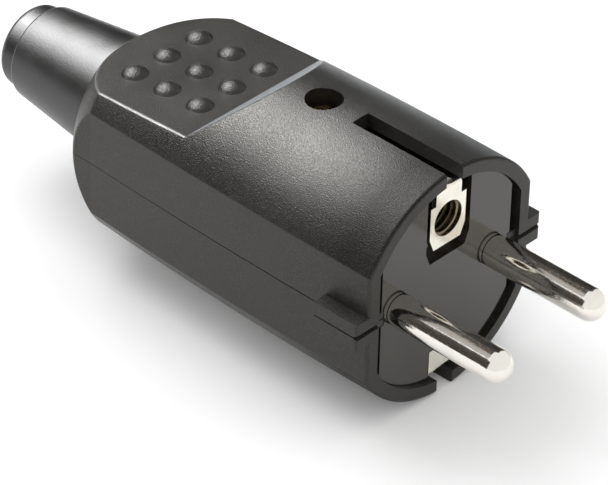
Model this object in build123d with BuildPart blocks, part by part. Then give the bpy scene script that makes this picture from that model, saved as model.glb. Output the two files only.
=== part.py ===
from build123d import *
import math
import os

# Rewirable straight mains plug with a two-part rubber housing.
# X runs across the pins, Y from the pins to the cable, and Z up, towards the earth socket.
# The origin is on the plug's axis, in the plane of the housing's front rim. Sizes are in millimetres.

# Pins and earth socket
pin_diameter = 4.8
pin_shank = 4.4
pin_spacing = 19.0
pin_reach = 19.0
earth_height = 10.0
earth_bore = 5.0

# Housing outside: radius of the barrel and half-width of its flats, at the rim, the middle and the shoulder
rim_radius = 18.2
middle_radius = 18.05
shoulder_radius = 17.15
rim_flat = 16.1
middle_flat = 15.85
shoulder_flat = 14.95
middle_place = 30.0
shoulder_place = 53.6
body_length = 60.8
end_radius = 9.4
dome_bulge = 1.1
edge_radius = 0.5

# Housing walls and the split between its halves
wall = 2.1
seam_gap = 0.2
seam_tight = 0.06
seam_mouth = 0.8
seam_mouth_depth = 0.8
fit_gap = 0.12

# Thumb pad with its ramp and grip bumps
pad_front = 36.8
pad_height = 11.9
pad_fall = 3.2
ramp_angle = 40.6
bump_pitch = 6.3
bump_count = 3
bump_diameter = 4.0
bump_height = 1.0
bump_place = 47.2

# Guide tabs on the flats
tab_reach = 18.4
tab_length = 7.8
tab_height = 4.3
tab_rear_radius = 1.0
tab_front_radius = 0.4

# Earth grooves in the top and bottom
groove_width = 3.2
groove_length = 17.1

# Contact block, behind the rim, and the keys that hold it
block_recess = 0.7
block_plate = 6.3
block_length = 16.3
block_gap = 1.2
block_side = 13.6
block_height = 11.0
column_width = 9.2
key_reach = 1.6
key_height = 2.3
key_depth = 4.0
ledge_width = 1.4
ledge_depth = 1.5

# Earth strap, folded from sheet, and its sleeve
sheet = 0.8
strip_width = 5.0
strip_room = 0.6
bend_radius = 0.9
plate_width = 7.0
plate_front = 0.85
plate_low = 5.9
plate_corner = 0.85
plate_corner_rise = 2.0
plate_room = 0.8
plate_neck = 2.5
plate_hole = 5.4
lip_height = 4.3
pocket_margin = 0.3
pocket_low = 4.1
pocket_depth = 1.5
web_gap = 0.4
sleeve_wall = 0.7
sleeve_length = 14.0
sleeve_slit = 0.8
sleeve_ring = 0.25
sleeve_ring_count = 3
sleeve_ring_pitch = 1.0

# Terminals
head_size = 6.2
head_length = 9.4
wire_hole = 3.2
wire_depth = 7.0
terminal_place = 12.0
terminal_thread = 3.4
terminal_lift = 1.2
ear_x = 6.9
ear_z = -8.4
ear_size = 6.0
earth_screw_length = 7.0

# Screws and nut
screw_gap = 0.1
slot_width = 0.8
slot_depth = 0.9
head_edge = 0.4
terminal_head = 5.4
terminal_head_height = 2.0
housing_thread = 3.0
housing_head = 4.9
housing_head_height = 2.0
housing_place = 23.7
screw_depth = 4.4
boss_diameter = 8.4
nut_across_flats = 5.5
nut_thickness = 2.4
nut_depth = 4.45
clamp_thread = 2.6
clamp_head = 4.6
clamp_head_height = 1.8
clamp_screw_length = 9.0

# Cord clamp and the cable's way through
cable_bore = 9.0
clamp_room = 4.38
clamp_width = 7.0
clamp_seat = 1.0
clamp_end_thickness = 3.0
clamp_crown = 1.6
post_diameter = 6.0
cradle_thickness = 2.4

# Cable boot
boot_radius = 9.1
boot_shoulder = 7.1
boot_taper = 17.2
boot_lip = 6.35
boot_tip = 3.3
boot_lip_edge = 1.2
boot_shoulder_edge = 0.5
boot_neck = 7.3
boot_flange = 9.0
flange_thickness = 3.0
rear_wall = 3.4
flange_rib = 2.4

# Sizes that follow from those above
inner_radius = rim_radius - wall
inner_flat = rim_flat - wall
chamber_radius = shoulder_radius - wall
chamber_flat = shoulder_flat - wall
pin_x = pin_spacing / 2
screw_seat = middle_radius - screw_depth
nut_seat = middle_radius - nut_depth
block_seat = block_recess + block_plate
block_rear = block_recess + block_length
strip_height = inner_radius - strip_room
plate_shoulder = strip_height - plate_neck
strip_bed = strip_height - sheet - fit_gap
web_front = block_rear + web_gap
web_rear = web_front + sheet
flange_rear = body_length - rear_wall
flange_front = flange_rear - flange_thickness
chamber_end = flange_front - fit_gap - flange_rib
front_bay_end = web_rear + 2 * sheet
sleeve_radius = earth_bore / 2 + sleeve_wall
sleeve_front = plate_front + sheet
head_front = block_seat + fit_gap
head_rear = head_front + head_length
terminal_seat = head_size / 2 + terminal_lift
terminal_length = terminal_seat - screw_gap
bump_radius = (bump_diameter**2 / 4 + bump_height**2) / (2 * bump_height)
pad_slope = math.tan(math.radians(pad_fall))
ramp_slope = math.tan(math.radians(ramp_angle))
arch_radius = cable_bore / 2 + clamp_crown
clamp_place = chamber_end - clamp_room - clamp_width / 2
clamp_spacing = 2 * arch_radius + clamp_head
clamp_length = clamp_spacing + post_diameter
clamp_end_top = clamp_seat + clamp_end_thickness
boot_base = body_length + fit_gap
boot_shoulder_place = body_length + boot_taper
boot_end = boot_shoulder_place + boot_tip
lip_end = lip_height - strip_height
clear = 3 * rim_radius


def across(place):
    """Plane across the plug's axis, drawn with X to the right and Z up; rearwards is its negative side."""
    return Plane(origin=(0, place, 0), x_dir=(1, 0, 0), z_dir=(0, -1, 0))


def pad_at(place):
    """Height of the thumb pad at a place along the axis."""
    return pad_height - pad_slope * (place - pad_front)


def rim_section(round_gap, flat_gap):
    """Adds to the sketch being drawn the section inside the rim, less a gap on its rounds and on its flats."""
    Circle(inner_radius - round_gap)
    Rectangle(2 * (inner_flat - flat_gap), clear, mode=Mode.INTERSECT)


def plate_outline(width, low, high):
    """Adds to the sketch being drawn a plate between two heights, with slanted lower corners."""
    side = width / 2
    foot = side - plate_corner
    Polygon(
        (-side, high),
        (-side, low + plate_corner_rise),
        (-foot, low),
        (foot, low),
        (side, low + plate_corner_rise),
        (side, high),
        align=None,
    )


def slotted_screw(seat, thread, length, head, head_height):
    """Slotted screw whose head stands on the seat plane and whose shank goes down through it."""
    with BuildPart() as screw:
        with BuildSketch(seat):
            Circle(head / 2)
        extrude(amount=head_height)
        chamfer(screw.edges().sort_by(Axis(seat.origin, seat.z_dir))[-1], head_edge)
        with BuildSketch(seat):
            Circle(thread / 2)
        extrude(amount=-length)
        with BuildSketch(seat.offset(head_height)):
            Rectangle(2 * head, slot_width)
        extrude(amount=-slot_depth, mode=Mode.SUBTRACT)
    return screw


def contact_pin(place_x):
    """Round pin on a thinner shank, and a square head with a wire hole and a tapped hole for its screw."""
    axis = Axis((place_x, 0, 0), (0, 1, 0))
    radius = pin_diameter / 2
    shank = pin_shank / 2
    with BuildPart() as pin:
        with BuildSketch(Plane.XY):
            with BuildLine():
                Line((place_x, head_front), (place_x, -pin_reach))
                RadiusArc((place_x, -pin_reach), (place_x + radius, radius - pin_reach), -radius)
                Polyline(
                    (place_x + radius, radius - pin_reach),
                    (place_x + radius, 0),
                    (place_x + shank, 0),
                    (place_x + shank, head_front),
                    (place_x, head_front),
                )
            make_face()
        revolve(axis=axis)
        with BuildSketch(across(head_front)):
            with Locations((place_x, 0)):
                Rectangle(head_size, head_size)
        extrude(amount=-head_length)
        with BuildSketch(across(head_rear)):
            with Locations((place_x, 0)):
                Circle(wire_hole / 2)
        extrude(amount=wire_depth, mode=Mode.SUBTRACT)
        with BuildSketch(Plane.XY):
            with Locations((place_x, terminal_place)):
                Circle(terminal_thread / 2 + screw_gap)
        extrude(amount=head_size, mode=Mode.SUBTRACT)
    return pin


# Space of the wiring chamber: narrower than the bay, with its roof a wall below the ramp and the pad
with BuildPart() as chamber:
    with BuildSketch(across(front_bay_end)):
        Circle(chamber_radius)
        Rectangle(2 * chamber_flat, clear, mode=Mode.INTERSECT)
    extrude(amount=front_bay_end - chamber_end)
    roof_corner = pad_front - wall * math.tan(math.radians(ramp_angle / 2))
    with BuildSketch(Plane.YZ):
        Polygon(
            (roof_corner, pad_at(roof_corner) - wall),
            (roof_corner - (clear - pad_height) / ramp_slope, clear),
            (front_bay_end - clear, clear),
            (front_bay_end - clear, -clear),
            (chamber_end, -clear),
            (chamber_end, pad_at(chamber_end) - wall),
            align=None,
        )
    extrude(amount=clear, both=True, mode=Mode.INTERSECT)

# Upper half of the housing without its screw hole: outside form, then the hollow and what stands in it
with BuildPart() as housing_half:
    # Barrel with a domed rear end
    with BuildSketch(Plane.XY):
        with BuildLine():
            Line((0, 0), (rim_radius, 0))
            ThreePointArc((rim_radius, 0), (middle_radius, middle_place), (shoulder_radius, shoulder_place))
            SagittaArc((shoulder_radius, shoulder_place), (end_radius, body_length), -dome_bulge)
            Polyline((end_radius, body_length), (0, body_length), (0, 0))
        make_face()
    revolve(axis=Axis.Y)

    # Flats on both sides
    with BuildSketch(Plane.XY):
        with BuildLine():
            Line((0, 0), (rim_flat, 0))
            ThreePointArc((rim_flat, 0), (middle_flat, middle_place), (shoulder_flat, shoulder_place))
            Polyline((shoulder_flat, shoulder_place), (shoulder_flat, body_length), (0, body_length), (0, 0))
        make_face()
        mirror(about=Plane.YZ)
    extrude(amount=clear, both=True, mode=Mode.INTERSECT)

    # Half of it: the split is tight at the boot and opens a little towards the rim
    seam_rise = (seam_gap - seam_tight) / 2 / body_length
    seam = Plane(origin=(0, 0, seam_gap / 2), x_dir=(1, 0, 0), z_dir=(0, seam_rise, 1))
    split(bisect_by=seam, keep=Keep.TOP)

    # Thumb pad, which falls to the rear, and the ramp in front of it
    ramp_rise = clear - pad_height
    with BuildSketch(Plane.YZ):
        Polygon(
            (pad_front, pad_height),
            (pad_front - ramp_rise / ramp_slope, clear),
            (body_length + wall, clear),
            (body_length + wall, pad_at(body_length + wall)),
            align=None,
        )
    extrude(amount=clear, both=True, mode=Mode.SUBTRACT)

    # Rounded outer edges; the ones on the split and at the boot stay sharp
    sharp_edges = housing_half.faces().sort_by(Axis.Z)[0].edges()
    sharp_edges += housing_half.faces().sort_by(Axis.Y)[-1].edges()
    fillet(housing_half.edges() - sharp_edges, edge_radius)

    # Grip bumps
    pad_plane = Plane(
        origin=(0, bump_place, pad_at(bump_place)),
        x_dir=(1, 0, 0),
        z_dir=(0, pad_slope, 1),
    )
    with Locations(pad_plane.offset(bump_height - bump_radius)):
        with GridLocations(bump_pitch, bump_pitch, bump_count, bump_count):
            Sphere(bump_radius)

    # Guide tabs
    with BuildSketch(Plane.XY.offset(seam_gap / 2)):
        with Locations(((inner_flat + tab_reach) / 2, tab_length / 2)):
            Rectangle(tab_reach - inner_flat, tab_length)
        outer_corners = vertices().group_by(Axis.X)[-1].sort_by(Axis.Y)
        fillet(outer_corners[0], tab_front_radius)
        fillet(outer_corners[-1], tab_rear_radius)
        mirror(about=Plane.YZ)
    extrude(amount=tab_height / 2 - seam_gap / 2)

    # Bay for the contact block
    with BuildSketch(across(0)):
        rim_section(0, 0)
    extrude(amount=-front_bay_end, mode=Mode.SUBTRACT)

    # Wiring chamber, under the ramp and the pad
    add(chamber.part, mode=Mode.SUBTRACT)

    # Seat for the boot's neck and flange
    with BuildSketch(across(chamber_end)):
        Circle(boot_neck + fit_gap)
    extrude(amount=chamber_end - body_length, mode=Mode.SUBTRACT)
    with BuildSketch(across(flange_front - fit_gap)):
        Circle(boot_flange + fit_gap)
    extrude(amount=-flange_thickness - 2 * fit_gap, mode=Mode.SUBTRACT)

    # Keys that hold the contact block from the front, and the ledge behind it
    with BuildSketch(across(block_recess)):
        with GridLocations(2 * inner_flat, 0, 2, 1):
            Rectangle(2 * key_reach, key_height)
        with Locations((0, seam_gap / 2 - clear / 2)):
            Rectangle(clear, clear, mode=Mode.SUBTRACT)
    extrude(amount=block_recess - key_depth)
    with BuildSketch(across(block_seat + fit_gap)):
        Circle(inner_radius + wall / 2)
        Circle(inner_radius - ledge_width, mode=Mode.SUBTRACT)
        Rectangle(column_width + 4 * fit_gap, clear, mode=Mode.SUBTRACT)
        with Locations((0, clear / 2 + block_height / 2 + wall)):
            Rectangle(2 * inner_flat, clear, mode=Mode.INTERSECT)
    extrude(amount=-ledge_depth)

    # Boss for the housing screw
    with BuildSketch(Plane.XY.offset(seam_gap / 2)):
        with Locations((0, housing_place)):
            Circle(boss_diameter / 2)
    extrude(amount=inner_radius + wall / 4)

    # Earth groove, open at the front
    with BuildSketch(Plane.XY.offset(inner_radius / 2)):
        with Locations((0, groove_length / 2)):
            Rectangle(groove_width, groove_length)
    extrude(amount=clear, mode=Mode.SUBTRACT)

    # The split opens wider at the rim itself
    with BuildSketch(Plane.YZ):
        Polygon((0, 0), (seam_mouth_depth, 0), (0, seam_mouth / 2), align=None)
    extrude(amount=clear, both=True, mode=Mode.SUBTRACT)

# Upper half of the housing, with the counterbored hole for the screw
with BuildPart() as upper_shell:
    add(housing_half.part)
    with BuildSketch(Plane.XY.offset(screw_seat)):
        with Locations((0, housing_place)):
            Circle(housing_head / 2 + 2 * fit_gap)
    extrude(amount=clear, mode=Mode.SUBTRACT)
    with BuildSketch(Plane.XY):
        with Locations((0, housing_place)):
            Circle(housing_thread / 2 + 2 * screw_gap)
    extrude(amount=screw_seat, mode=Mode.SUBTRACT)

# Lower half of the housing, with a pocket for the nut, posts for the cord clamp and a cradle for the cable
with BuildPart() as lower_shell:
    mirror(housing_half.part, about=Plane.XY)
    with BuildSketch(Plane.XY.offset(-nut_seat)):
        with Locations((0, housing_place)):
            RegularPolygon(nut_across_flats / 2 + fit_gap, 6, major_radius=False)
    extrude(amount=-clear, mode=Mode.SUBTRACT)
    with BuildSketch(Plane.XY):
        with Locations((0, housing_place)):
            Circle(housing_thread / 2 + 2 * screw_gap)
    extrude(amount=-nut_seat, mode=Mode.SUBTRACT)
    floor = -pad_at(clamp_place) + wall / 2
    with BuildSketch(Plane.XY.offset(floor)):
        with Locations((0, clamp_place)):
            with GridLocations(clamp_spacing, 0, 2, 1):
                Circle(post_diameter / 2)
    extrude(amount=clamp_seat - floor)
    with BuildSketch(across(clamp_place - cradle_thickness / 2)):
        with Locations((0, (floor - clamp_seat) / 2)):
            Rectangle(clamp_spacing, -clamp_seat - floor)
        Circle(cable_bore / 2, mode=Mode.SUBTRACT)
    extrude(amount=-cradle_thickness)
    with BuildSketch(Plane.XY.offset(clamp_seat)):
        with Locations((0, clamp_place)):
            with GridLocations(clamp_spacing, 0, 2, 1):
                Circle(clamp_thread / 2 + screw_gap)
    extrude(amount=-clamp_screw_length, mode=Mode.SUBTRACT)

# Contact block: front plate inside the rim, arms for the pins' heads and a column for the earth strap
with BuildPart() as contact_block:
    with BuildSketch(across(block_recess)):
        rim_section(fit_gap, block_gap)
    extrude(amount=-block_plate)
    with BuildSketch(across(block_seat)):
        Rectangle(2 * block_side, block_height)
        Rectangle(column_width, 2 * strip_bed)
    extrude(amount=block_seat - block_rear)

    # Beds for the strips, and pockets for the strap's front plate and lip
    with BuildSketch(across(block_recess)):
        with Locations((0, strip_bed + wall), (0, -strip_bed - wall)):
            Rectangle(strip_width + 2 * pocket_margin, 2 * wall)
    extrude(amount=-block_plate, mode=Mode.SUBTRACT)
    with BuildSketch(across(block_recess)):
        plate_outline(plate_width + 2 * plate_room, pocket_low, inner_radius)
        with Locations((0, (lip_end + pocket_margin - inner_radius) / 2)):
            Rectangle(strip_width + 2 * pocket_margin, lip_end + pocket_margin + inner_radius)
    extrude(amount=-pocket_depth, mode=Mode.SUBTRACT)

    # Holes for the sleeve and the pins, and open pockets for the pins' heads
    with BuildSketch(across(block_recess)):
        with Locations((0, earth_height)):
            Circle(sleeve_radius + fit_gap)
    extrude(amount=block_recess - sleeve_front - sleeve_length - 2 * fit_gap, mode=Mode.SUBTRACT)
    with BuildSketch(across(block_recess)):
        with GridLocations(pin_spacing, 0, 2, 1):
            Circle(pin_shank / 2 + fit_gap)
    extrude(amount=-block_plate, mode=Mode.SUBTRACT)
    pocket_floor = -head_size / 2 - fit_gap
    with BuildSketch(across(block_seat)):
        with Locations((0, pocket_floor + block_height / 2)):
            with GridLocations(pin_spacing, 0, 2, 1):
                Rectangle(head_size + 2 * fit_gap, block_height)
    extrude(amount=block_seat - block_rear, mode=Mode.SUBTRACT)

    # Notches for the housing's keys
    with BuildSketch(across(block_recess)):
        with GridLocations(2 * inner_flat, 0, 2, 1):
            Rectangle(2 * (key_reach + fit_gap), key_height + 2 * fit_gap)
    extrude(amount=block_recess - key_depth - fit_gap, mode=Mode.SUBTRACT)

# Pins with their terminal screws
live_pin = contact_pin(-pin_x)
neutral_pin = contact_pin(pin_x)
live_terminal_screw = slotted_screw(
    Plane(origin=(-pin_x, terminal_place, terminal_seat)),
    terminal_thread,
    terminal_length,
    terminal_head,
    terminal_head_height,
)
neutral_terminal_screw = slotted_screw(
    Plane(origin=(pin_x, terminal_place, terminal_seat)),
    terminal_thread,
    terminal_length,
    terminal_head,
    terminal_head_height,
)

# Earth strap: strip folded round the block, with a wide front plate at the top and an ear for the terminal
with BuildPart() as earth_strap:
    with BuildSketch(Plane.YZ):
        with BuildLine():
            FilletPolyline(
                (plate_front, plate_low),
                (plate_front, strip_height),
                (web_rear, strip_height),
                (web_rear, -strip_height),
                (plate_front, -strip_height),
                (plate_front, lip_end),
                radius=bend_radius,
            )
            offset(amount=sheet, side=Side.RIGHT)
        make_face()
    extrude(amount=strip_width / 2, both=True)
    with BuildSketch(across(plate_front)):
        plate_outline(plate_width, plate_low, plate_shoulder)
    extrude(amount=-sheet)
    with BuildSketch(across(plate_front)):
        with Locations((0, earth_height)):
            Circle(plate_hole / 2)
    extrude(amount=-sheet, mode=Mode.SUBTRACT)
    with BuildSketch(across(web_front)):
        with Locations(((ear_x + ear_size / 2) / 2, ear_z)):
            Rectangle(ear_x + ear_size / 2, ear_size)
        with Locations((ear_x, ear_z)):
            Circle(terminal_thread / 2 + screw_gap, mode=Mode.SUBTRACT)
    extrude(amount=-sheet)

# Earth sleeve: slit tube with shallow rings at its mouth
with BuildPart() as earth_sleeve:
    with BuildSketch(across(sleeve_front)):
        with Locations((0, earth_height)):
            Circle(sleeve_radius)
            Circle(earth_bore / 2, mode=Mode.SUBTRACT)
    extrude(amount=-sleeve_length)
    for ring in range(sleeve_ring_count):
        with BuildSketch(across(sleeve_front + (ring + 0.5) * sleeve_ring_pitch)):
            with Locations((0, earth_height)):
                Circle(earth_bore / 2 + sleeve_ring)
                Circle(earth_bore / 2, mode=Mode.SUBTRACT)
        extrude(amount=-sleeve_ring_pitch / 2, mode=Mode.SUBTRACT)
    with BuildSketch(across(sleeve_front)):
        with Locations((0, earth_height + sleeve_radius)):
            Rectangle(sleeve_slit, 2 * sleeve_radius)
    extrude(amount=-sleeve_length, mode=Mode.SUBTRACT)

# Earth terminal: plate that presses the wire on the strap's ear, and its screw
with BuildPart() as earth_clamp_plate:
    with BuildSketch(across(web_rear)):
        with Locations((ear_x, ear_z)):
            Rectangle(ear_size, ear_size)
            Circle(terminal_thread / 2 + 2 * screw_gap, mode=Mode.SUBTRACT)
    extrude(amount=-sheet)
earth_terminal_screw = slotted_screw(
    Plane(origin=(ear_x, web_rear + sheet, ear_z), x_dir=(1, 0, 0), z_dir=(0, 1, 0)),
    terminal_thread,
    earth_screw_length,
    terminal_head,
    terminal_head_height,
)

# Housing screw and its captive nut
housing_screw = slotted_screw(
    Plane(origin=(0, housing_place, screw_seat)),
    housing_thread,
    screw_seat + nut_seat + nut_thickness,
    housing_head,
    housing_head_height,
)
with BuildPart() as housing_nut:
    with BuildSketch(Plane.XY.offset(-nut_seat)):
        with Locations((0, housing_place)):
            RegularPolygon(nut_across_flats / 2, 6, major_radius=False)
            Circle(housing_thread / 2 + screw_gap, mode=Mode.SUBTRACT)
    extrude(amount=-nut_thickness)

# Cord clamp: arched bar on the posts, with a screw at each end
with BuildPart() as cord_clamp:
    with BuildSketch(across(clamp_place - clamp_width / 2)):
        Circle(arch_radius)
        with Locations((0, (clamp_seat + clamp_end_top) / 2)):
            Rectangle(clamp_length, clamp_end_thickness)
        Circle(cable_bore / 2, mode=Mode.SUBTRACT)
        with Locations((0, clamp_seat - clear / 2)):
            Rectangle(clear, clear, mode=Mode.SUBTRACT)
    extrude(amount=-clamp_width)
    with BuildSketch(Plane.XY.offset(clamp_end_top)):
        with Locations((0, clamp_place)):
            with GridLocations(clamp_spacing, 0, 2, 1):
                Circle(clamp_thread / 2 + 2 * screw_gap)
    extrude(amount=-clamp_end_thickness, mode=Mode.SUBTRACT)
cord_clamp_screw_left = slotted_screw(
    Plane(origin=(-clamp_spacing / 2, clamp_place, clamp_end_top)),
    clamp_thread,
    clamp_screw_length,
    clamp_head,
    clamp_head_height,
)
cord_clamp_screw_right = slotted_screw(
    Plane(origin=(clamp_spacing / 2, clamp_place, clamp_end_top)),
    clamp_thread,
    clamp_screw_length,
    clamp_head,
    clamp_head_height,
)

# Cable boot: flange and neck held by the housing, tapered sleeve with a lip at its end
with BuildPart() as cable_boot:
    with BuildSketch(Plane.XY):
        with BuildLine():
            Polyline(
                (cable_bore / 2, flange_front),
                (boot_flange, flange_front),
                (boot_flange, flange_rear),
                (boot_neck, flange_rear),
                (boot_neck, boot_base),
                (boot_radius, boot_base),
                (boot_shoulder, boot_shoulder_place),
                (boot_lip, boot_shoulder_place),
                (boot_lip, boot_end),
                (cable_bore / 2, boot_end),
                close=True,
            )
        make_face()
        rear_corners = vertices().group_by(Axis.Y)[-1].sort_by(Axis.X)
        fillet(rear_corners[-1], boot_lip_edge)
        shoulder_corners = vertices().filter_by(lambda v: abs(v.Y - boot_shoulder_place) < fit_gap)
        fillet(shoulder_corners.sort_by(Axis.X)[-1], boot_shoulder_edge)
    revolve(axis=Axis.Y)

pieces = {
    "upper_shell": upper_shell,
    "lower_shell": lower_shell,
    "contact_block": contact_block,
    "live_pin": live_pin,
    "neutral_pin": neutral_pin,
    "live_terminal_screw": live_terminal_screw,
    "neutral_terminal_screw": neutral_terminal_screw,
    "earth_strap": earth_strap,
    "earth_sleeve": earth_sleeve,
    "earth_clamp_plate": earth_clamp_plate,
    "earth_terminal_screw": earth_terminal_screw,
    "housing_screw": housing_screw,
    "housing_nut": housing_nut,
    "cord_clamp": cord_clamp,
    "cord_clamp_screw_left": cord_clamp_screw_left,
    "cord_clamp_screw_right": cord_clamp_screw_right,
    "cable_boot": cable_boot,
}
os.makedirs("parts", exist_ok=True)
for name, piece in pieces.items():
    piece.part.label = name
    export_step(piece.part, f"parts/{name}.step")
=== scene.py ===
"""Looks of a rewirable rubber mains plug: moulded, plated and turned finishes, and a studio."""

import math

import bpy
from bpy.props import FloatProperty, FloatVectorProperty, PointerProperty
from mathutils import Matrix, Vector


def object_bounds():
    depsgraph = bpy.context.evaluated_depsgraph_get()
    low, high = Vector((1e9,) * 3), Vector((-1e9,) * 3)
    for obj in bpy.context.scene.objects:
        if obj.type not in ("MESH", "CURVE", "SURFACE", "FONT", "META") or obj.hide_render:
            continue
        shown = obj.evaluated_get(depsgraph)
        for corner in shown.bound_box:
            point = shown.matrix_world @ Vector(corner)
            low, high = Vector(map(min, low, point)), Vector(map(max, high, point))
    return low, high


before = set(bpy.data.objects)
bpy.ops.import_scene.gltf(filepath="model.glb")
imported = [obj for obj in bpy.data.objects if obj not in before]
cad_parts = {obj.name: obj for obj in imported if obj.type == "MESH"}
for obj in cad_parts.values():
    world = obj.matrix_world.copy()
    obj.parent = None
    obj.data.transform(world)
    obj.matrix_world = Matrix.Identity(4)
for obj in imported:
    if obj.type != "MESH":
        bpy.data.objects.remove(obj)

bl_info = {
    "name": "Rubber Mains Plug",
    "version": (1, 0, 0),
    "blender": (4, 5, 0),
    "location": "View3D > Sidebar > Plug",
    "description": "Finishes and studio for a rewirable rubber mains plug",
    "category": "Object",
}

CAD_LOW, CAD_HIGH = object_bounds()

# Housing, in metres. The plug's axis runs along Y, with the pins at -Y and the cable at +Y.
BARREL_ROUGH = (0.0, 0.024)  # Y over which the barrel's front turns from rough to smooth
BARREL_DULL = (0.005, 0.019)  # Y over which it turns from dull to shiny
RAMP_SPAN = (0.0288, 0.0376)  # Y of the ramps in front of the thumb pads
PAD_START = (0.0366, 0.037)  # Y over which the thumb pads begin
PAD_SLANT = math.tan(math.radians(3.2))  # fall of the pads towards the cable
PAD_FACE = (0.01365, 0.01425)  # height of a pad's face, with the slant taken out
# The pale line round a pad is partly wear and partly a painted edge highlight
PAD_EDGE = (0.01377, 0.01391)  # height of the worn line round a pad, likewise

# How far a surface faces along an axis, where a share of it starts and where it is full
TILTED = (0.2, 0.5)
NEARLY_SQUARE = (0.75, 0.88)
SQUARE = (0.9, 0.97)

# Wear, sheen and painted sparkle of the rubber
# GRAIN_TIPS also sets the paler grain tips, which are partly dust and partly a painted sparkle
# highlight
GRAIN_TIPS = (0.5, 0.78)  # noise at which the grain starts to pale and is palest
FRONT_ROUGHNESS = 0.15  # added at the barrel's front
FRONT_DULLNESS = 0.31  # taken off the specular level there
BARREL_SHEEN = 0.25
PAD_SMOOTHNESS = 0.6  # 1 is as smooth as the flats
SMOOTH_GRAIN = 0.3  # share of the grain's depth that is left on the flats

# Studio, in metres and degrees. A turn is about the upright axis, from the plug's front.
AIM = Vector((0.0, 0.03, 0.0))  # middle of the plug, which lamps and cards face
FLOOR_RADIUS = 9.0
FLOOR_SIDES = 64
LAMP_SIZE = (0.5, 0.28)
LAMP_AWAY = 0.66
KEY_PLACE = (184.0, 54.0)  # turn and rise, as for the other two places
BOOT_PLACE = (199.0, 35.0)
PIN_PLACE = (202.0, 52.0)
PINS = ("live_pin", "neutral_pin")
PLATED = (*PINS, "earth_strap", "housing_screw")  # mirrors, which the key and the glint leave out
CARDS = (  # name, turn, distance, half width, height of the top edge, colour
    ("card_left", -116.0, 0.24, 0.12, 0.24, (0.03, 0.022, 0.014)),
    ("card_right", 122.0, 0.15, 0.075, 0.26, (0.012, 0.01, 0.007)),
    ("card_rear", 183.0, 0.9, 0.8, 2.0, (0.075, 0.056, 0.035)),
)
WHITE = (1.0, 1.0, 1.0)
SENSOR_WIDTH = 36.0  # millimetres
CLIP_START = 0.01


def colour(name, description, default):
    """Colour property in linear red, green and blue."""
    return FloatVectorProperty(
        name=name, description=description, default=default, size=3, min=0.0, max=1.0,
        subtype="COLOR",
    )


def length(name, description, default):
    """Length property in metres."""
    return FloatProperty(
        name=name, description=description, default=default, min=0.0, unit="LENGTH", precision=6
    )


def angle(name, description, degrees):
    """Angle property, with its default given in degrees."""
    return FloatProperty(
        name=name, description=description, default=math.radians(degrees), subtype="ANGLE"
    )


def power(name, description, default):
    """Lamp power property in watts."""
    return FloatProperty(
        name=name, description=description, default=default, min=0.0, unit="POWER"
    )


class PlugFinishes(bpy.types.PropertyGroup):
    """Colours and texture sizes of the plug's pieces."""

    housing_colour: colour("Housing", "Black rubber of both shells", (0.0095, 0.0084, 0.0066))
    # High spots: grain tips made paler, partly dust and partly a painted sparkle highlight
    housing_dust_and_sparkle: colour(
        "Housing high spots", "Tips of the grain, worn a little paler", (0.046, 0.0438, 0.04)
    )
    # Ramps: paler, bluish base colour, partly scuffing and partly a painted highlight
    scuff_and_highlight_colour: colour(
        "Scuffed ramps", "Ramps in front of the thumb pads, rubbed a little pale",
        (0.022, 0.023, 0.025),
    )
    # Pad edges: partly rubbed wear, partly a painted edge highlight
    edge_wear_and_highlight_colour: colour("Worn edges", "Edges of the thumb pads, rubbed pale", (0.14, 0.145, 0.15))
    boot_colour: colour("Boot", "Black rubber of the cable boot", (0.007, 0.0071, 0.0073))
    block_colour: colour("Contact block", "Dark moulding between the pins", (0.011, 0.0092, 0.006))
    nickel_colour: colour("Pin nickel", "Plating of the two pins", (0.84, 0.81, 0.75))
    earth_colour: colour("Earth nickel", "Plating of the earth strap", (0.88, 0.84, 0.75))
    sleeve_colour: colour(
        "Earth sleeve", "Darkened plating inside the earth socket", (0.3, 0.25, 0.17)
    )
    brass_colour: colour("Screw brass", "Housing screw and its nut", (0.42, 0.3, 0.13))
    steel_colour: colour("Terminal steel", "Zinc plated screws inside", (0.5, 0.5, 0.51))
    grain_size: length("Grain size", "Width of one spot of the moulded grain", 0.00015)
    grain_depth: length("Grain depth", "Depth of the moulded grain", 0.00007)


class PlugStudio(bpy.types.PropertyGroup):
    """Camera, floor and lights."""

    camera_place: FloatVectorProperty(
        name="Camera place", description="Centre of the lens",
        default=(-0.36899, -0.31156, 0.35663), size=3, subtype="TRANSLATION", unit="LENGTH",
    )
    camera_turn: angle(
        "Camera turn", "Turn about the upright axis from the plug's front", -47.489
    )
    camera_rise: angle("Camera rise", "Angle above the floor", 36.025)
    camera_roll: angle("Camera roll", "Tilt of the picture", 1.579)
    camera_lens: FloatProperty(
        name="Lens", description="Focal length on a 36 mm wide picture, in millimetres",
        default=264.9, min=1.0, subtype="DISTANCE_CAMERA",
    )
    floor_height: FloatProperty(
        name="Floor height", description="Height of the floor under the plug",
        default=CAD_LOW[2], unit="LENGTH",
    )
    floor_colour: colour("Floor", "Pale floor", (0.96, 0.96, 0.96))
    floor_glow: FloatProperty(
        name="Floor white", description="Share of plain white in the floor's look",
        default=0.02, min=0.0, max=1.0,
    )
    sky_light: FloatProperty(
        name="Sky", description="Strength of the even light", default=1.0, min=0.0
    )
    key_power: power("Key light", "Power of the soft light behind the plug", 1.5)
    glint_power: power("Glint light", "Power of the light that only shiny surfaces show", 21.5)
    boot_power: power("Boot light", "Power of the low light on the cable boot", 2.1)
    pin_power: power("Pin light", "Power of the faint light on the pins", 0.17)


def shade(tone, share):
    """Darker or paler version of a colour."""
    return tuple(share * part for part in tone)


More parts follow.
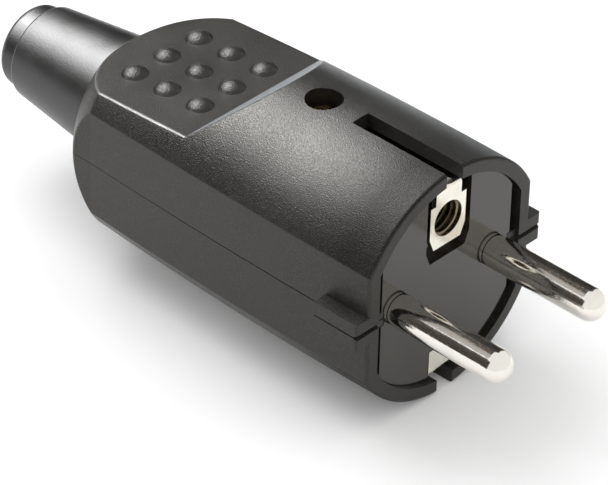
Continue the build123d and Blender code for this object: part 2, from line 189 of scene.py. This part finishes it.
class Finish:
    """Node tree of one material, with its shader at hand."""

    def __init__(self, name):
        self.material = bpy.data.materials.new(name)
        self.material.use_nodes = True
        self.tree = self.material.node_tree
        self.shader = self.tree.nodes["Principled BSDF"]
        self.place = self.add("ShaderNodeTexCoord").outputs["Object"]

    def add(self, kind, **settings):
        """Adds a node; a setting is a property of the node, or else one of its input sockets."""
        made = self.tree.nodes.new(kind)
        for key, value in settings.items():
            if hasattr(made, key):
                setattr(made, key, value)
            else:
                made.inputs[key.replace("_", " ")].default_value = value
        return made

    def join(self, source, target):
        """Links an output to an input socket."""
        self.tree.links.new(source, target)

    def noise(self, size, detail, stretch=(1.0, 1.0, 1.0)):
        """Noise in the plug's own space, with spots of the size given in metres."""
        scaled = self.add("ShaderNodeVectorMath", operation="MULTIPLY")
        self.join(self.place, scaled.inputs[0])
        scaled.inputs[1].default_value = stretch
        spots = self.add("ShaderNodeTexNoise", Scale=1.0 / size, Detail=detail, Roughness=0.5)
        self.join(scaled.outputs[0], spots.inputs["Vector"])
        return spots.outputs["Fac"]

    def ramp(self, source, low, high, start=0.35, end=0.65):
        """Runs from a low to a high value, or colour, as the source goes from start to end."""
        if isinstance(low, float):
            span = self.add("ShaderNodeMapRange", clamp=True)
            limits = {"From Min": start, "From Max": end, "To Min": low, "To Max": high}
            for name, value in limits.items():
                span.inputs[name].default_value = value
            self.join(source, span.inputs["Value"])
            return span.outputs["Result"]
        colours = self.add("ShaderNodeValToRGB")
        for stop, place, tone in zip(colours.color_ramp.elements, (start, end), (low, high)):
            stop.position = place
            stop.color = (*tone, 1.0)
        self.join(source, colours.inputs["Fac"])
        return colours.outputs["Color"]

    def mask(self, source, start, end):
        """Runs from 0 to 1 as the source goes from start to end."""
        return self.ramp(source, 0.0, 1.0, start, end)

    def band(self, source, low, high, soft):
        """1 where the source is between two values, 0 outside, with a soft step at both."""
        rise = self.mask(source, low - soft, low + soft)
        return self.calc("MULTIPLY", rise, self.ramp(source, 1.0, 0.0, high - soft, high + soft))

    def blend(self, share, below, tone):
        """Lays a colour over another one by a share from 0 to 1."""
        made = self.add("ShaderNodeMix", data_type="RGBA")
        self.join(share, made.inputs["Factor"])
        self.join(below, made.inputs["A"])
        made.inputs["B"].default_value = (*tone, 1.0)
        return made.outputs["Result"]

    def calc(self, operation, first, second=0.0):
        """Result of a math operation on one or two values, each an output or a number."""
        made = self.add("ShaderNodeMath", operation=operation)
        for socket, value in zip(made.inputs, (first, second)):
            if isinstance(value, float):
                socket.default_value = value
            else:
                self.join(value, socket)
        return made.outputs[0]

    def bump(self, height, depth, below=None):
        """Bump of a depth in metres, on top of another bump if one is given."""
        made = self.add("ShaderNodeBump", Strength=1.0, Distance=depth)
        self.join(height, made.inputs["Height"])
        if below is not None:
            self.join(below, made.inputs["Normal"])
        return made.outputs["Normal"]

    def part(self, vector, axis):
        """One part of a vector, by the name of its axis."""
        parts = self.add("ShaderNodeSeparateXYZ")
        self.join(vector, parts.inputs[0])
        return parts.outputs[axis]

    def facing(self, axis):
        """How far the surface faces along an axis, from -1 to 1."""
        return self.part(self.add("ShaderNodeNewGeometry").outputs["Normal"], axis)

    def smooth_parts(self):
        """Nearly 1 on the flats and on faces across the axis, 0 on round and sloping surfaces."""
        sides, ends = (
            self.mask(self.calc("ABSOLUTE", self.facing(axis)), *SQUARE) for axis in "XY"
        )
        return self.calc("MAXIMUM", sides, ends)

    def set(self, **sockets):
        """Sets or links sockets of the shader by name, with _ for a space."""
        for key, value in sockets.items():
            socket = self.shader.inputs[key.replace("_", " ")]
            if isinstance(value, bpy.types.NodeSocket):
                self.join(value, socket)
            elif isinstance(value, float):
                socket.default_value = value
            else:
                socket.default_value = (*value, 1.0)


def dress(finish, *nodes):
    """Gives CAD nodes a finish."""
    for name in nodes:
        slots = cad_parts[name].data.materials
        slots.clear()
        slots.append(finish.material)


class PLUG_OT_housing(bpy.types.Operator):
    """Grained black rubber on both shells, smoother on their flats, ends and thumb pads"""

    bl_idname = "plug.housing"
    bl_label = "Housing"

    def execute(self, context):
        values = context.scene.plug_finishes
        rubber = Finish("housing_rubber")
        grain = rubber.noise(values.grain_size, detail=1.0)
        clouds = rubber.noise(0.009, detail=4.0)

        # Where the surface is: along the axis, over the slanted pads, and how level it lies
        along = rubber.part(rubber.place, "Y")
        height = rubber.calc("ABSOLUTE", rubber.part(rubber.place, "Z"))
        height = rubber.calc("ADD", height, rubber.calc("MULTIPLY", along, PAD_SLANT))
        level = rubber.calc("ABSOLUTE", rubber.facing("Z"))

        # Shares from 0 to 1 of the ramps, the pads and the line round the pads
        slope = rubber.band(along, *RAMP_SPAN, soft=0.0004)
        slope = rubber.calc("MULTIPLY", slope, rubber.mask(rubber.facing("Y"), *TILTED))
        pad_start = rubber.mask(along, *PAD_START)
        pad = rubber.calc("MULTIPLY", rubber.band(height, *PAD_FACE, soft=0.0001), pad_start)
        edge = rubber.calc("MULTIPLY", rubber.band(height, *PAD_EDGE, soft=0.00002), pad_start)

        # Paler grain tips: partly dust, partly a painted sparkle highlight
        tone = rubber.ramp(grain, values.housing_colour, values.housing_dust_and_sparkle, *GRAIN_TIPS)
        # Ramps made paler: partly scuffing, partly a painted highlight; their sheen comes from the
        # shader
        tone = rubber.blend(slope, tone, values.scuff_and_highlight_colour)
        # Line round the pads made paler: partly wear, partly a painted edge highlight
        tone = rubber.blend(edge, tone, values.edge_wear_and_highlight_colour)
        scuffs = rubber.ramp(along, FRONT_ROUGHNESS, 0.0, *BARREL_ROUGH)
        dull = rubber.ramp(along, FRONT_DULLNESS, 0.0, *BARREL_DULL)
        dull = rubber.calc("MULTIPLY", dull, rubber.mask(level, *TILTED))
        barrel = rubber.calc("SUBTRACT", rubber.mask(level, *NEARLY_SQUARE), pad)
        sheen = rubber.calc("MULTIPLY", barrel, BARREL_SHEEN)
        rubber.set(
            Base_Color=tone,
            Roughness=rubber.calc("ADD", rubber.ramp(clouds, 0.28, 0.32), scuffs),
            Specular_IOR_Level=rubber.calc("SUBTRACT", 0.4, dull),
            Specular_Tint=(1.0, 0.98, 0.93),
            Sheen_Weight=rubber.calc("MAXIMUM", slope, sheen),
            Sheen_Roughness=0.32,
            Sheen_Tint=(0.9, 0.95, 1.0),
        )
        smooth = rubber.calc("MULTIPLY", pad, PAD_SMOOTHNESS)
        smooth = rubber.calc("MAXIMUM", rubber.smooth_parts(), smooth)
        relief = rubber.ramp(smooth, 1.0, SMOOTH_GRAIN, 0.0, 1.0)
        relief = rubber.calc("MULTIPLY", grain, relief)
        rubber.set(Normal=rubber.bump(relief, values.grain_depth))
        dress(rubber, "upper_shell", "lower_shell")
        return {"FINISHED"}


class PLUG_OT_boot(bpy.types.Operator):
    """Smooth satin rubber on the cable boot"""

    bl_idname = "plug.boot"
    bl_label = "Cable boot"

    def execute(self, context):
        base = context.scene.plug_finishes.boot_colour
        rubber = Finish("boot_rubber")
        film = rubber.noise(0.006, detail=5.0)
        specks = rubber.noise(0.00025, detail=2.0)
        rubber.set(
            Base_Color=rubber.ramp(film, base, shade(base, 1.5)),
            Roughness=rubber.ramp(film, 0.3, 0.36),
            Specular_IOR_Level=0.65,
            Normal=rubber.bump(specks, 0.00002),
        )
        dress(rubber, "cable_boot")
        return {"FINISHED"}


class PLUG_OT_contact_block(bpy.types.Operator):
    """Glossy moulding on the block that carries the pins"""

    bl_idname = "plug.contact_block"
    bl_label = "Contact block"

    def execute(self, context):
        base = context.scene.plug_finishes.block_colour
        plastic = Finish("block_plastic")
        flow = plastic.noise(0.005, detail=5.0)
        specks = plastic.noise(0.0003, detail=2.0)
        plastic.set(
            Base_Color=plastic.ramp(flow, base, shade(base, 1.35)),
            Roughness=plastic.ramp(flow, 0.1, 0.16),
            Specular_IOR_Level=0.45,
            Specular_Tint=(1.0, 0.97, 0.9),
            Coat_Weight=0.35,
            Coat_Roughness=0.08,
            Normal=plastic.bump(specks, 0.000002),
        )
        dress(plastic, "contact_block")
        return {"FINISHED"}


class PLUG_OT_pins(bpy.types.Operator):
    """Turned nickel on the live and neutral pins, with fine rings, pits and wear along the pin"""

    bl_idname = "plug.pins"
    bl_label = "Pins"

    def execute(self, context):
        base = context.scene.plug_finishes.nickel_colour
        nickel = Finish("pin_nickel")
        turning = nickel.noise(0.00016, detail=2.0, stretch=(0.02, 1.0, 0.02))
        wear = nickel.noise(0.0004, detail=4.0, stretch=(1.0, 0.08, 1.0))
        film = nickel.noise(0.003, detail=4.0)
        specks = nickel.noise(0.00022, detail=3.0, stretch=(1.0, 0.6, 1.0))
        pitted = nickel.ramp(specks, 0.0, 0.16, 0.48, 0.7)
        rings = nickel.bump(turning, 0.0000012)
        pits = nickel.bump(specks, 0.000003, below=rings)
        nickel.set(
            Base_Color=nickel.ramp(film, shade(base, 0.92), base),
            Metallic=1.0,
            Roughness=nickel.calc("ADD", nickel.ramp(wear, 0.06, 0.12), pitted),
            Normal=nickel.bump(wear, 0.0000015, below=pits),
        )
        dress(nickel, *PINS)
        return {"FINISHED"}


class PLUG_OT_earth_contact(bpy.types.Operator):
    """Plated sheet on the earth strap and its clamp plate, darker plating on its sleeve"""

    bl_idname = "plug.earth_contact"
    bl_label = "Earth contact"

    def execute(self, context):
        values = context.scene.plug_finishes
        base = values.earth_colour
        plated = Finish("earth_nickel")
        rolled = plated.noise(0.0005, detail=4.0, stretch=(1.0, 0.06, 0.06))
        film = plated.noise(0.0022, detail=4.0)
        plated.set(
            Base_Color=plated.ramp(film, shade(base, 0.9), base),
            Metallic=1.0,
            Roughness=plated.ramp(rolled, 0.12, 0.22),
            Normal=plated.bump(rolled, 0.000003),
        )
        dress(plated, "earth_strap", "earth_clamp_plate")

        base = values.sleeve_colour
        dark = Finish("earth_sleeve")
        film = dark.noise(0.0012, detail=4.0)
        dark.set(
            Base_Color=dark.ramp(film, shade(base, 0.6), base),
            Metallic=1.0,
            Roughness=dark.ramp(film, 0.22, 0.36),
        )
        dress(dark, "earth_sleeve")
        return {"FINISHED"}


class PLUG_OT_fasteners(bpy.types.Operator):
    """Brass on the housing screw and its nut, zinc plated steel on the rest and the clamp"""

    bl_idname = "plug.fasteners"
    bl_label = "Screws and clamp"

    def execute(self, context):
        values = context.scene.plug_finishes
        self.plate("screw_brass", values.brass_colour, "housing_screw", "housing_nut")
        self.plate(
            "terminal_steel", values.steel_colour,
            "live_terminal_screw", "neutral_terminal_screw", "earth_terminal_screw",
            "cord_clamp_screw_left", "cord_clamp_screw_right", "cord_clamp",
        )
        return {"FINISHED"}

    def plate(self, name, base, *nodes):
        """Handled metal of a colour, with darker patches partly painted as shade, and small marks.
        """
        metal = Finish(name)
        film = metal.noise(0.0014, detail=4.0)
        marks = metal.noise(0.0002, detail=3.0)
        metal.set(
            # Darker patches reach 0.45 of the colour: partly tarnish, partly painted shade for the
            # housing screw deep in its hole
            Base_Color=metal.ramp(film, shade(base, 0.45), base),
            Metallic=1.0,
            Roughness=metal.ramp(marks, 0.16, 0.4),
            Normal=metal.bump(marks, 0.000008),
        )
        dress(metal, *nodes)


class PLUG_OT_stage(bpy.types.Operator):
    """Pale floor, even sky, four soft lamps, three cards that only mirrors show, and the camera"""

    bl_idname = "plug.stage"
    bl_label = "Studio"

    def execute(self, context):
        studio = context.scene.plug_studio
        self.lay_floor(context, studio)
        self.light_sky(context, studio)
        self.hang_lamps(context, studio)
        for card in CARDS:
            self.stand_card(context, studio.floor_height, *card)
        self.set_camera(context, studio)
        context.scene.view_settings.view_transform = "Standard"
        return {"FINISHED"}

    def outward(self, turn, rise=0.0):
        """Direction at a turn and a rise above the floor, in degrees."""
        turn, rise = math.radians(turn), math.radians(rise)
        level = math.cos(rise)
        return Vector((math.sin(turn) * level, -math.cos(turn) * level, math.sin(rise)))

    def place(self, context, name, data):
        """Adds an object to the scene."""
        made = bpy.data.objects.new(name, data)
        context.scene.collection.objects.link(made)
        return made

    def seen_rays(self, tree):
        """Output that is 1 for rays that show a surface to the camera, straight or by mirror."""
        path = tree.nodes.new("ShaderNodeLightPath")
        total = path.outputs["Is Camera Ray"]
        for name in ("Is Glossy Ray", "Is Transmission Ray"):
            join = tree.nodes.new("ShaderNodeMath")
            join.operation = "MAXIMUM"
            tree.links.new(total, join.inputs[0])
            tree.links.new(path.outputs[name], join.inputs[1])
            total = join.outputs[0]
        return total

    def lay_floor(self, context, studio):
        """Round floor that reaches far out, a little whiter where it is seen than it is lit."""
        mesh = bpy.data.meshes.new("floor")
        corners = []
        for index in range(FLOOR_SIDES):
            turn = 2 * math.pi * index / FLOOR_SIDES
            x, y = FLOOR_RADIUS * math.cos(turn), FLOOR_RADIUS * math.sin(turn)
            corners.append((x, y, studio.floor_height))
        mesh.from_pydata(corners, [], [tuple(range(FLOOR_SIDES))])
        floor = self.place(context, "floor", mesh)
        base = studio.floor_colour
        paper = Finish("floor_paper")
        fibre = paper.noise(0.02, detail=3.0)
        seen = self.seen_rays(paper.tree)
        paper.set(
            Base_Color=paper.ramp(fibre, shade(base, 0.99), base),
            Roughness=0.9,
            Specular_IOR_Level=0.1,
            Emission_Color=WHITE,
            Emission_Strength=paper.calc("MULTIPLY", seen, studio.floor_glow),
        )
        mesh.materials.append(paper.material)

    def light_sky(self, context, studio):
        """Even sky, plain white where the camera or a mirror sees it."""
        world = bpy.data.worlds.new("studio")
        context.scene.world = world
        world.use_nodes = True
        tree = world.node_tree
        sky = tree.nodes["Background"]
        sky.inputs["Color"].default_value = (*WHITE, 1.0)
        sky.inputs["Strength"].default_value = studio.sky_light
        white = tree.nodes.new("ShaderNodeBackground")
        white.inputs["Color"].default_value = (*WHITE, 1.0)
        mix = tree.nodes.new("ShaderNodeMixShader")
        tree.links.new(self.seen_rays(tree), mix.inputs["Fac"])
        tree.links.new(sky.outputs[0], mix.inputs[1])
        tree.links.new(white.outputs[0], mix.inputs[2])
        tree.links.new(mix.outputs[0], tree.nodes["World Output"].inputs["Surface"])

    def hang_lamps(self, context, studio):
        """Key light and glint behind the plug, low light on the boot, faint light on the pins."""
        key = self.hang_lamp(context, "key_light", studio.key_power, KEY_PLACE)
        self.shine(key, "EXCLUDE", *PLATED)
        glint = self.hang_lamp(context, "glint_light", studio.glint_power, KEY_PLACE)
        self.shine(glint, "EXCLUDE", *PLATED)
        low = self.hang_lamp(context, "boot_light", studio.boot_power, BOOT_PLACE)
        self.shine(low, "INCLUDE", "cable_boot")
        faint = self.hang_lamp(context, "pin_light", studio.pin_power, PIN_PLACE)
        self.shine(faint, "INCLUDE", *PINS)
        for gloss_only in (glint, low):
            gloss_only.visible_diffuse = False

    def hang_lamp(self, context, name, watts, place):
        """Wide soft lamp at a turn and a rise, facing the plug."""
        lamp = bpy.data.lights.new(name, "AREA")
        lamp.shape = "RECTANGLE"
        lamp.size, lamp.size_y = LAMP_SIZE
        lamp.energy = watts
        hung = self.place(context, name, lamp)
        hung.location = AIM + LAMP_AWAY * self.outward(*place)
        hung.rotation_euler = (hung.location - AIM).to_track_quat("Z", "Y").to_euler()
        return hung

    def shine(self, lamp, state, *nodes):
        """Lets a lamp light only the nodes named, or all but them."""
        lit = bpy.data.collections.new(lamp.name + "_nodes")
        for name in nodes:
            lit.objects.link(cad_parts[name])
        for item in lit.collection_objects:
            item.light_linking.link_state = state
        lamp.light_linking.receiver_collection = lit

    def stand_card(self, context, foot, name, turn, away, half_width, top, tone):
        """Dark card that only mirrors show, as photographers stand beside shiny things."""
        mesh = bpy.data.meshes.new(name)
        middle = AIM + away * self.outward(turn)
        along = half_width * self.outward(turn + 90.0)
        left, right = middle - along, middle + along
        corners = [(*left.xy, foot), (*right.xy, foot), (*right.xy, top), (*left.xy, top)]
        mesh.from_pydata(corners, [], [(0, 1, 2, 3)])
        card = self.place(context, name, mesh)
        board = Finish(name + "_board")
        board.set(Base_Color=tone, Roughness=0.9)
        mesh.materials.append(board.material)
        card.visible_camera = False
        card.visible_diffuse = False
        card.visible_shadow = False

    def set_camera(self, context, studio):
        """Camera at the photograph's place."""
        turn, roll = studio.camera_turn, studio.camera_roll
        back = self.outward(math.degrees(turn), math.degrees(studio.camera_rise))
        right = Vector((math.cos(turn), math.sin(turn), 0.0))
        up = back.cross(right)
        level = math.cos(roll) * right + math.sin(roll) * up
        upright = math.cos(roll) * up - math.sin(roll) * right
        lens = bpy.data.cameras.new("camera")
        lens.lens = studio.camera_lens
        lens.sensor_width = SENSOR_WIDTH
        lens.clip_start = CLIP_START
        camera = self.place(context, "camera", lens)
        pose = Matrix((level, upright, back)).transposed().to_4x4()
        pose.translation = studio.camera_place
        camera.matrix_world = pose
        context.scene.camera = camera


OPERATORS = (
    PLUG_OT_housing,
    PLUG_OT_boot,
    PLUG_OT_contact_block,
    PLUG_OT_pins,
    PLUG_OT_earth_contact,
    PLUG_OT_fasteners,
    PLUG_OT_stage,
)


class PLUG_PT_sidebar(bpy.types.Panel):
    """Lists the plug's finishes, its studio and the operators that make them"""

    bl_label = "Mains plug"
    bl_idname = "PLUG_PT_sidebar"
    bl_space_type = "VIEW_3D"
    bl_region_type = "UI"
    bl_category = "Plug"

    def draw(self, context):
        for group in (context.scene.plug_finishes, context.scene.plug_studio):
            for name in group.__annotations__:
                self.layout.prop(group, name)
        for operator in OPERATORS:
            self.layout.operator(operator.bl_idname)


CLASSES = (PlugFinishes, PlugStudio, *OPERATORS, PLUG_PT_sidebar)


def register():
    for item in CLASSES:
        bpy.utils.register_class(item)
    bpy.types.Scene.plug_finishes = PointerProperty(type=PlugFinishes)
    bpy.types.Scene.plug_studio = PointerProperty(type=PlugStudio)


def unregister():
    del bpy.types.Scene.plug_studio
    del bpy.types.Scene.plug_finishes
    for item in reversed(CLASSES):
        bpy.utils.unregister_class(item)


def main():
    register()
    bpy.ops.plug.housing()
    bpy.ops.plug.boot()
    bpy.ops.plug.contact_block()
    bpy.ops.plug.pins()
    bpy.ops.plug.earth_contact()
    bpy.ops.plug.fasteners()
    bpy.ops.plug.stage()


if __name__ == "__main__":
    main()
